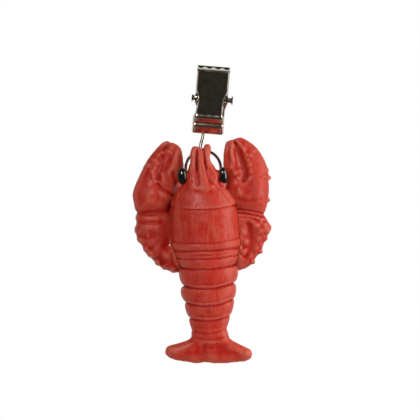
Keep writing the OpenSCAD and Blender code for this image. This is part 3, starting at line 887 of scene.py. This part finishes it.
def noise(tree, scale, detail=4.0, rough=0.55, stretch=None):
    """A noise texture over the object's own coordinates; scale is per metre."""
    out = tree.nodes.new("ShaderNodeTexCoord").outputs["Object"]
    if stretch:
        mapping = tree.nodes.new("ShaderNodeMapping")
        feed(tree, mapping, {"Vector": out, "Scale": stretch})
        out = mapping.outputs["Vector"]
    node = tree.nodes.new("ShaderNodeTexNoise")
    feed(tree, node, {"Vector": out, "Scale": scale, "Detail": detail, "Roughness": rough})
    return node.outputs["Fac"]


def ramp(tree, value, stops):
    """A ramp between two stops, each a position and a colour or one grey value."""
    node = tree.nodes.new("ShaderNodeValToRGB")
    for element, (position, colour) in zip(node.color_ramp.elements, stops):
        element.position = position
        element.color = (*np.broadcast_to(colour, 3), 1)
    feed(tree, node, {"Fac": value})
    return node.outputs["Color"]


def maths(tree, kind, *values, clamp=False):
    """A maths node over outputs and plain numbers."""
    node = tree.nodes.new("ShaderNodeMath")
    node.operation, node.use_clamp = kind, clamp
    feed(tree, node, dict(enumerate(values)))
    return node.outputs[0]


def average(tree, a, b, weight=0.5):
    """The sum of two outputs, times a weight."""
    return maths(tree, "MULTIPLY", maths(tree, "ADD", a, b), weight)


def blend_colours(tree, factor, under, over):
    """The colour output under, covered by the plain colour over as far as the factor says."""
    node = tree.nodes.new("ShaderNodeMix")
    node.data_type = "RGBA"
    feed(tree, node, {"Factor": factor, 6: under, 7: (*over, 1)})
    return node.outputs[2]


def bump_layers(tree, *layers):
    """Bumps one over another on the surface: height, strength, and distance in metres."""
    under = {}
    for height, strength, distance in layers:
        node = tree.nodes.new("ShaderNodeBump")
        feed(tree, node, {"Height": height, "Strength": strength, "Distance": distance, **under})
        under = {"Normal": node.outputs["Normal"]}
    surface(tree, under)


def hollow(tree, label, weight):
    """How hollow the sculpted surface is, times a weight."""
    node = tree.nodes.new("ShaderNodeAttribute")
    node.attribute_name = label
    return maths(tree, "MULTIPLY", node.outputs["Fac"], weight)


def resin():
    """Red cast resin: painted shade deepens the creases, and ridges and patches are paler, partly from
    frosted wear and partly painted sheen.
    """
    mat, tree = new_material("resin")
    mottle = noise(tree, 260, 5, 0.6)
    grain = noise(tree, 1500, 4, 0.6)
    streaks = noise(tree, 1100, 3, 0.6, stretch=(1, 1, 0.16))
    strokes = average(tree, streaks, mottle)
    colour = ramp(tree, mottle, [(0.3, (0.43, 0.007, 0.002)), (0.7, (0.54, 0.013, 0.004))])
    # Creases: painted shade, a deeper red wherever the surface is hollow
    depth = maths(tree, "ADD", hollow(tree, "hollow_fine", 3.2), hollow(tree, "hollow_broad", 2.4))
    painted_crease_shade = maths(tree, "MULTIPLY_ADD", depth, 1.0, -0.02, clamp=True)
    colour = blend_colours(tree, painted_crease_shade, colour, (0.26, 0.006, 0.002))
    # Ridges: paler, partly frosted wear and partly painted sheen, broken up by the streaks and the grain
    ridge = maths(tree, "ADD", maths(tree, "MULTIPLY", depth, -1.5), 0.05, clamp=True)
    ridge_frost_and_sheen = maths(tree, "MULTIPLY", ridge, average(tree, streaks, grain, 0.55), clamp=True)
    colour = blend_colours(tree, ridge_frost_and_sheen, colour, (0.64, 0.18, 0.12))
    # Paler patches in upright strokes, fewer in the creases: partly handling wear, partly painted sheen
    scuffs_and_painted_sheen = ramp(tree, strokes, [(0.44, 0.0), (0.60, 0.75)])
    patches = ramp(tree, noise(tree, 95, 2), [(0.40, 0.15), (0.56, 1.0)])
    proud = maths(tree, "SUBTRACT", 0.85, maths(tree, "MULTIPLY", depth, 2.2), clamp=True)
    scuffs_and_painted_sheen = maths(tree, "MULTIPLY", maths(tree, "MULTIPLY", scuffs_and_painted_sheen, patches), proud)
    colour = blend_colours(tree, scuffs_and_painted_sheen, colour, (0.53, 0.085, 0.052))
    surface(tree, {
        "Base Color": colour, "Roughness": ramp(tree, strokes, [(0.40, 0.32), (0.60, 0.54)]),
        "IOR": 1.5, "Specular IOR Level": 0.32, "Subsurface Weight": 0.12,
        "Subsurface Radius": (1.0, 0.12, 0.08), "Subsurface Scale": 0.0015,
    })
    bump_layers(tree, (mottle, 0.5, 0.0006), (streaks, 0.35, 0.0002), (grain, 0.35, 0.00012))
    return mat


def metal(name, colour, dark, rough_low, rough_high, bump_depth=0.00001):
    """Plated metal: faint stains, fine scratches and roughness that varies."""
    mat, tree = new_material(name)
    stain = noise(tree, 420, 5, 0.6)
    scratches = noise(tree, 2600, 3, 0.6, stretch=(1, 1, 0.08))
    rough = ramp(tree, average(tree, stain, scratches), [(0.35, rough_low), (0.65, rough_high)])
    shade = ramp(tree, stain, [(0.35, dark), (0.6, colour)])
    surface(tree, {"Metallic": 1.0, "Base Color": shade, "Roughness": rough})
    bump_layers(tree, (scratches, 0.2, bump_depth))
    return mat


def bead():
    """Polished black bead, with a faint smoky depth and fine scuffs."""
    mat, tree = new_material("eye_bead")
    cloud = noise(tree, 700, 4, 0.6)
    shade = ramp(tree, cloud, [(0.35, (0.004, 0.004, 0.006)), (0.7, (0.012, 0.018, 0.016))])
    rough = ramp(tree, cloud, [(0.3, 0.06), (0.7, 0.12)])
    surface(tree, {"Base Color": shade, "Roughness": rough, "Coat Weight": 0.6, "Coat Roughness": 0.05})
    bump_layers(tree, (cloud, 0.06, 0.00005))
    return mat


def floor_material():
    """Off-white paper."""
    mat, tree = new_material("floor")
    shade = ramp(tree, noise(tree, 60, 4), [(0.3, (0.84, 0.84, 0.83)), (0.7, (0.88, 0.88, 0.87))])
    surface(tree, {"Base Color": shade, "Roughness": 0.8})
    return mat


# ---- the pieces

def place(name, mesh, material, body, replaced):
    """A rigid piece on a body, in place of a CAD node."""
    obj = new_object(name, mesh)
    obj.data.materials.clear()
    obj.data.materials.append(material)
    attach(obj, body)
    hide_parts(replaced)


def make_lobster():
    """The three castings and the two eyes."""
    skin = resin()
    for name, clay in (("body_casting", sculpt_body()), ("left_claw_arm", sculpt_left_arm()),
                       ("right_claw_arm", sculpt_right_arm())):
        place(name + "_cast", clay.mesh(name), skin, "lobster", name)
    black = bead()
    for name, centre, half, turn in (("left_eye", (-7.6, -6.7, 3.3), (1.95, 1.8, 3.25), 4),
                                     ("right_eye", (7.4, -6.7, 3.7), (1.65, 1.8, 3.1), 8)):
        clay = Clay(np.array(centre) - 4, np.array(centre) + 4, EYE_VOXEL)
        clay.add(ball(centre, half, turn))
        place(name + "_bead", clay.mesh(name), black, "lobster", name)


def arc(centre, radius, start, end, axis="x", step=6.0):
    """Points on an arc in the y-z plane (axis x) or the x-z plane (axis y), in metres."""
    count = max(2, int(abs(end - start) / step) + 1)
    out = []
    for a in np.radians(np.linspace(start, end, count)):
        c, s = radius * math.cos(a), radius * math.sin(a)
        out.append(Vector(centre) + (Vector((0, c, s)) if axis == "x" else Vector((c, 0, s))))
    return out


def make_wires():
    """The doubled wire link and the hanging ring."""
    link_low, link_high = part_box("wire_link")
    wire_r = 0.325 * MM
    hook_r = 1.325 * MM
    half_gap = 0.355 * MM
    mid_x, mid_y = (link_low.x + link_high.x) / 2, HANG.y
    top = Vector((mid_x, mid_y, link_high.z - hook_r - wire_r))
    bottom = Vector((mid_x, mid_y, link_low.z + hook_r + wire_r))
    shank = bottom.z - top.z
    strands = []
    for side in (-1, 1):
        dx = Vector((side * half_gap, 0, 0))
        path = [p + dx for p in arc(top, hook_r, -60, 180)]
        path += [top + dx + Vector((0, -hook_r, shank * t)) for t in np.linspace(0, 1, 16)[1:-1]]
        path += [p + dx for p in arc(bottom, hook_r, 180, 420)]
        strands.append(path)
    bend_at = (strands[0][-1] + strands[1][-1]) / 2
    onward = (strands[0][-1] - strands[0][-2]).normalized()
    bend = [bend_at + Vector((half_gap * math.cos(a), 0, 0)) + onward * half_gap * math.sin(a)
            for a in np.radians(np.linspace(150, 30, 5))]
    path = strands[0] + bend + strands[1][::-1]
    # The link was bent a little to the left above the hook that holds the ring
    straight, bent, hook = top.z - 5 * MM, bottom.z + 1.6 * MM, bottom.z - 0.4 * MM
    path = [p - Vector((0.90 * MM * ease(straight, bent, p.z) - 0.62 * MM * ease(bent, hook, p.z), 0, 0))
            for p in path]
    place("wire_link_bent", sweep("wire_link", path, wire_r, 16), NICKEL_WIRE, "link",
          "wire_link")
    ring_low, ring_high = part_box("hanging_ring")
    # Its ends butt at 160 degrees, with a joint of 3 degrees
    ring_r, ring_wire_r, butt, half_joint = 6.5 * MM, 0.55 * MM, 160, 1.5
    ring = arc((ring_low + ring_high) / 2, ring_r, butt + half_joint, butt + 360 - half_joint, "y", 3)
    place("hanging_ring_wire", sweep("hanging_ring", ring, ring_wire_r, 20), RING_WIRE_PAINTED_REFLECTION, "ring",
          "hanging_ring")


def dress_cad():
    """Better materials on the CAD nodes that stay."""
    for name in ("pivot_pin", "eye_pin"):
        node = frame["nodes"][name]
        node.data.materials.clear()
        node.data.materials.append(NICKEL_WIRE)


# ---- the stage

def make_floor():
    """A round sheet of paper under the object."""
    radius, drop = 0.32, 0.06
    rim = [(radius * math.cos(a), radius * math.sin(a), 0) for a in np.radians(np.arange(0, 360, 5))]
    floor = new_object("floor", new_mesh("floor", rim, [tuple(range(len(rim)))]))
    floor.location = (0, 0, CAD_BOX[0].z - drop)
    floor.data.materials.append(floor_material())
    floor.visible_glossy = False


def area_light(name, place_at, size, power):
    """A warm soft box, aimed at the middle of the object."""
    light = bpy.data.lights.new(name, "AREA")
    light.shape, light.size, light.size_y = "RECTANGLE", size[0], size[1]
    light.energy, light.color = power, (1, 0.91, 0.82)
    obj = new_object(name, light)
    obj.location = place_at
    target = Vector((0, 0, -0.055))
    obj.rotation_euler = (target - obj.location).to_track_quat("-Z", "Y").to_euler()


def make_light():
    """Two soft boxes, and a room that is white to the camera alone."""
    world = bpy.data.worlds.new("studio")
    bpy.context.scene.world = world
    world.use_nodes = True
    tree = world.node_tree
    split = tree.nodes.new("ShaderNodeSeparateXYZ")
    feed(tree, split, {0: tree.nodes.new("ShaderNodeTexCoord").outputs["Generated"]})
    # Bright behind, dim at the sides, and nearly dark in front, below and, from overhead_from, above
    overhead_from, overhead_loss, turn_at, brightness, darkest = 0.68, 2.6, 0.25, 0.80, 0.04
    overhead = maths(tree, "MAXIMUM", maths(tree, "SUBTRACT", split.outputs["Z"], overhead_from), 0.0)
    level = maths(tree, "SUBTRACT", maths(tree, "ADD", split.outputs["Y"], turn_at),
                  maths(tree, "MULTIPLY", overhead, overhead_loss))
    behind = maths(tree, "MULTIPLY", maths(tree, "MAXIMUM", level, 0.0), brightness)
    shade = maths(tree, "ADD", behind, darkest)
    mix = tree.nodes.new("ShaderNodeMix")
    mix.data_type = "FLOAT"
    camera_ray = tree.nodes.new("ShaderNodeLightPath").outputs["Is Camera Ray"]
    feed(tree, mix, {"Factor": camera_ray, 2: shade, 3: 1.0})
    feed(tree, tree.nodes["Background"], {"Strength": mix.outputs[0], "Color": (1, 1, 1, 1)})
    area_light("key", (-0.19, -0.64, 0.32), (0.24, 0.24), 3.0)
    area_light("fill", (0.62, -0.20, 0.10), (0.45, 0.65), 4.4)
    bpy.context.scene.view_settings.view_transform = "Standard"


def make_camera():
    """A long lens from the front; distance and the frame's width in metres."""
    sensor, distance, frame_width = 36, 0.85, 0.1541
    data = bpy.data.cameras.new("camera")
    data.sensor_width = sensor
    data.lens = sensor * distance / frame_width
    camera = new_object("camera", data)
    camera.location = Vector((-0.00139, 0.005, -0.0517)) - Vector((0, distance, 0))
    camera.rotation_euler = (math.radians(90), 0, 0)
    bpy.context.scene.camera = camera


NICKEL = metal("nickel_sheet", (0.62, 0.55, 0.46), (0.47, 0.41, 0.33), 0.09, 0.19)
NICKEL_WIRE = metal("nickel_wire", (0.70, 0.67, 0.61), (0.58, 0.55, 0.50), 0.12, 0.2, bump_depth=0.000008)
# The ring is the same nickel as the clip. Its darker, reddish colour is a painted reflection of the dark
# room in front and of the red lobster.
RING_WIRE_PAINTED_REFLECTION = metal("ring_wire", (0.34, 0.27, 0.25), (0.20, 0.15, 0.14), 0.14, 0.26)
SPRING = metal("spring_steel", (0.45, 0.44, 0.42), (0.30, 0.29, 0.28), 0.22, 0.36)

make_camera()
make_light()
make_floor()
dress_cad()
make_clip()
make_spring()
make_lobster()
make_wires()
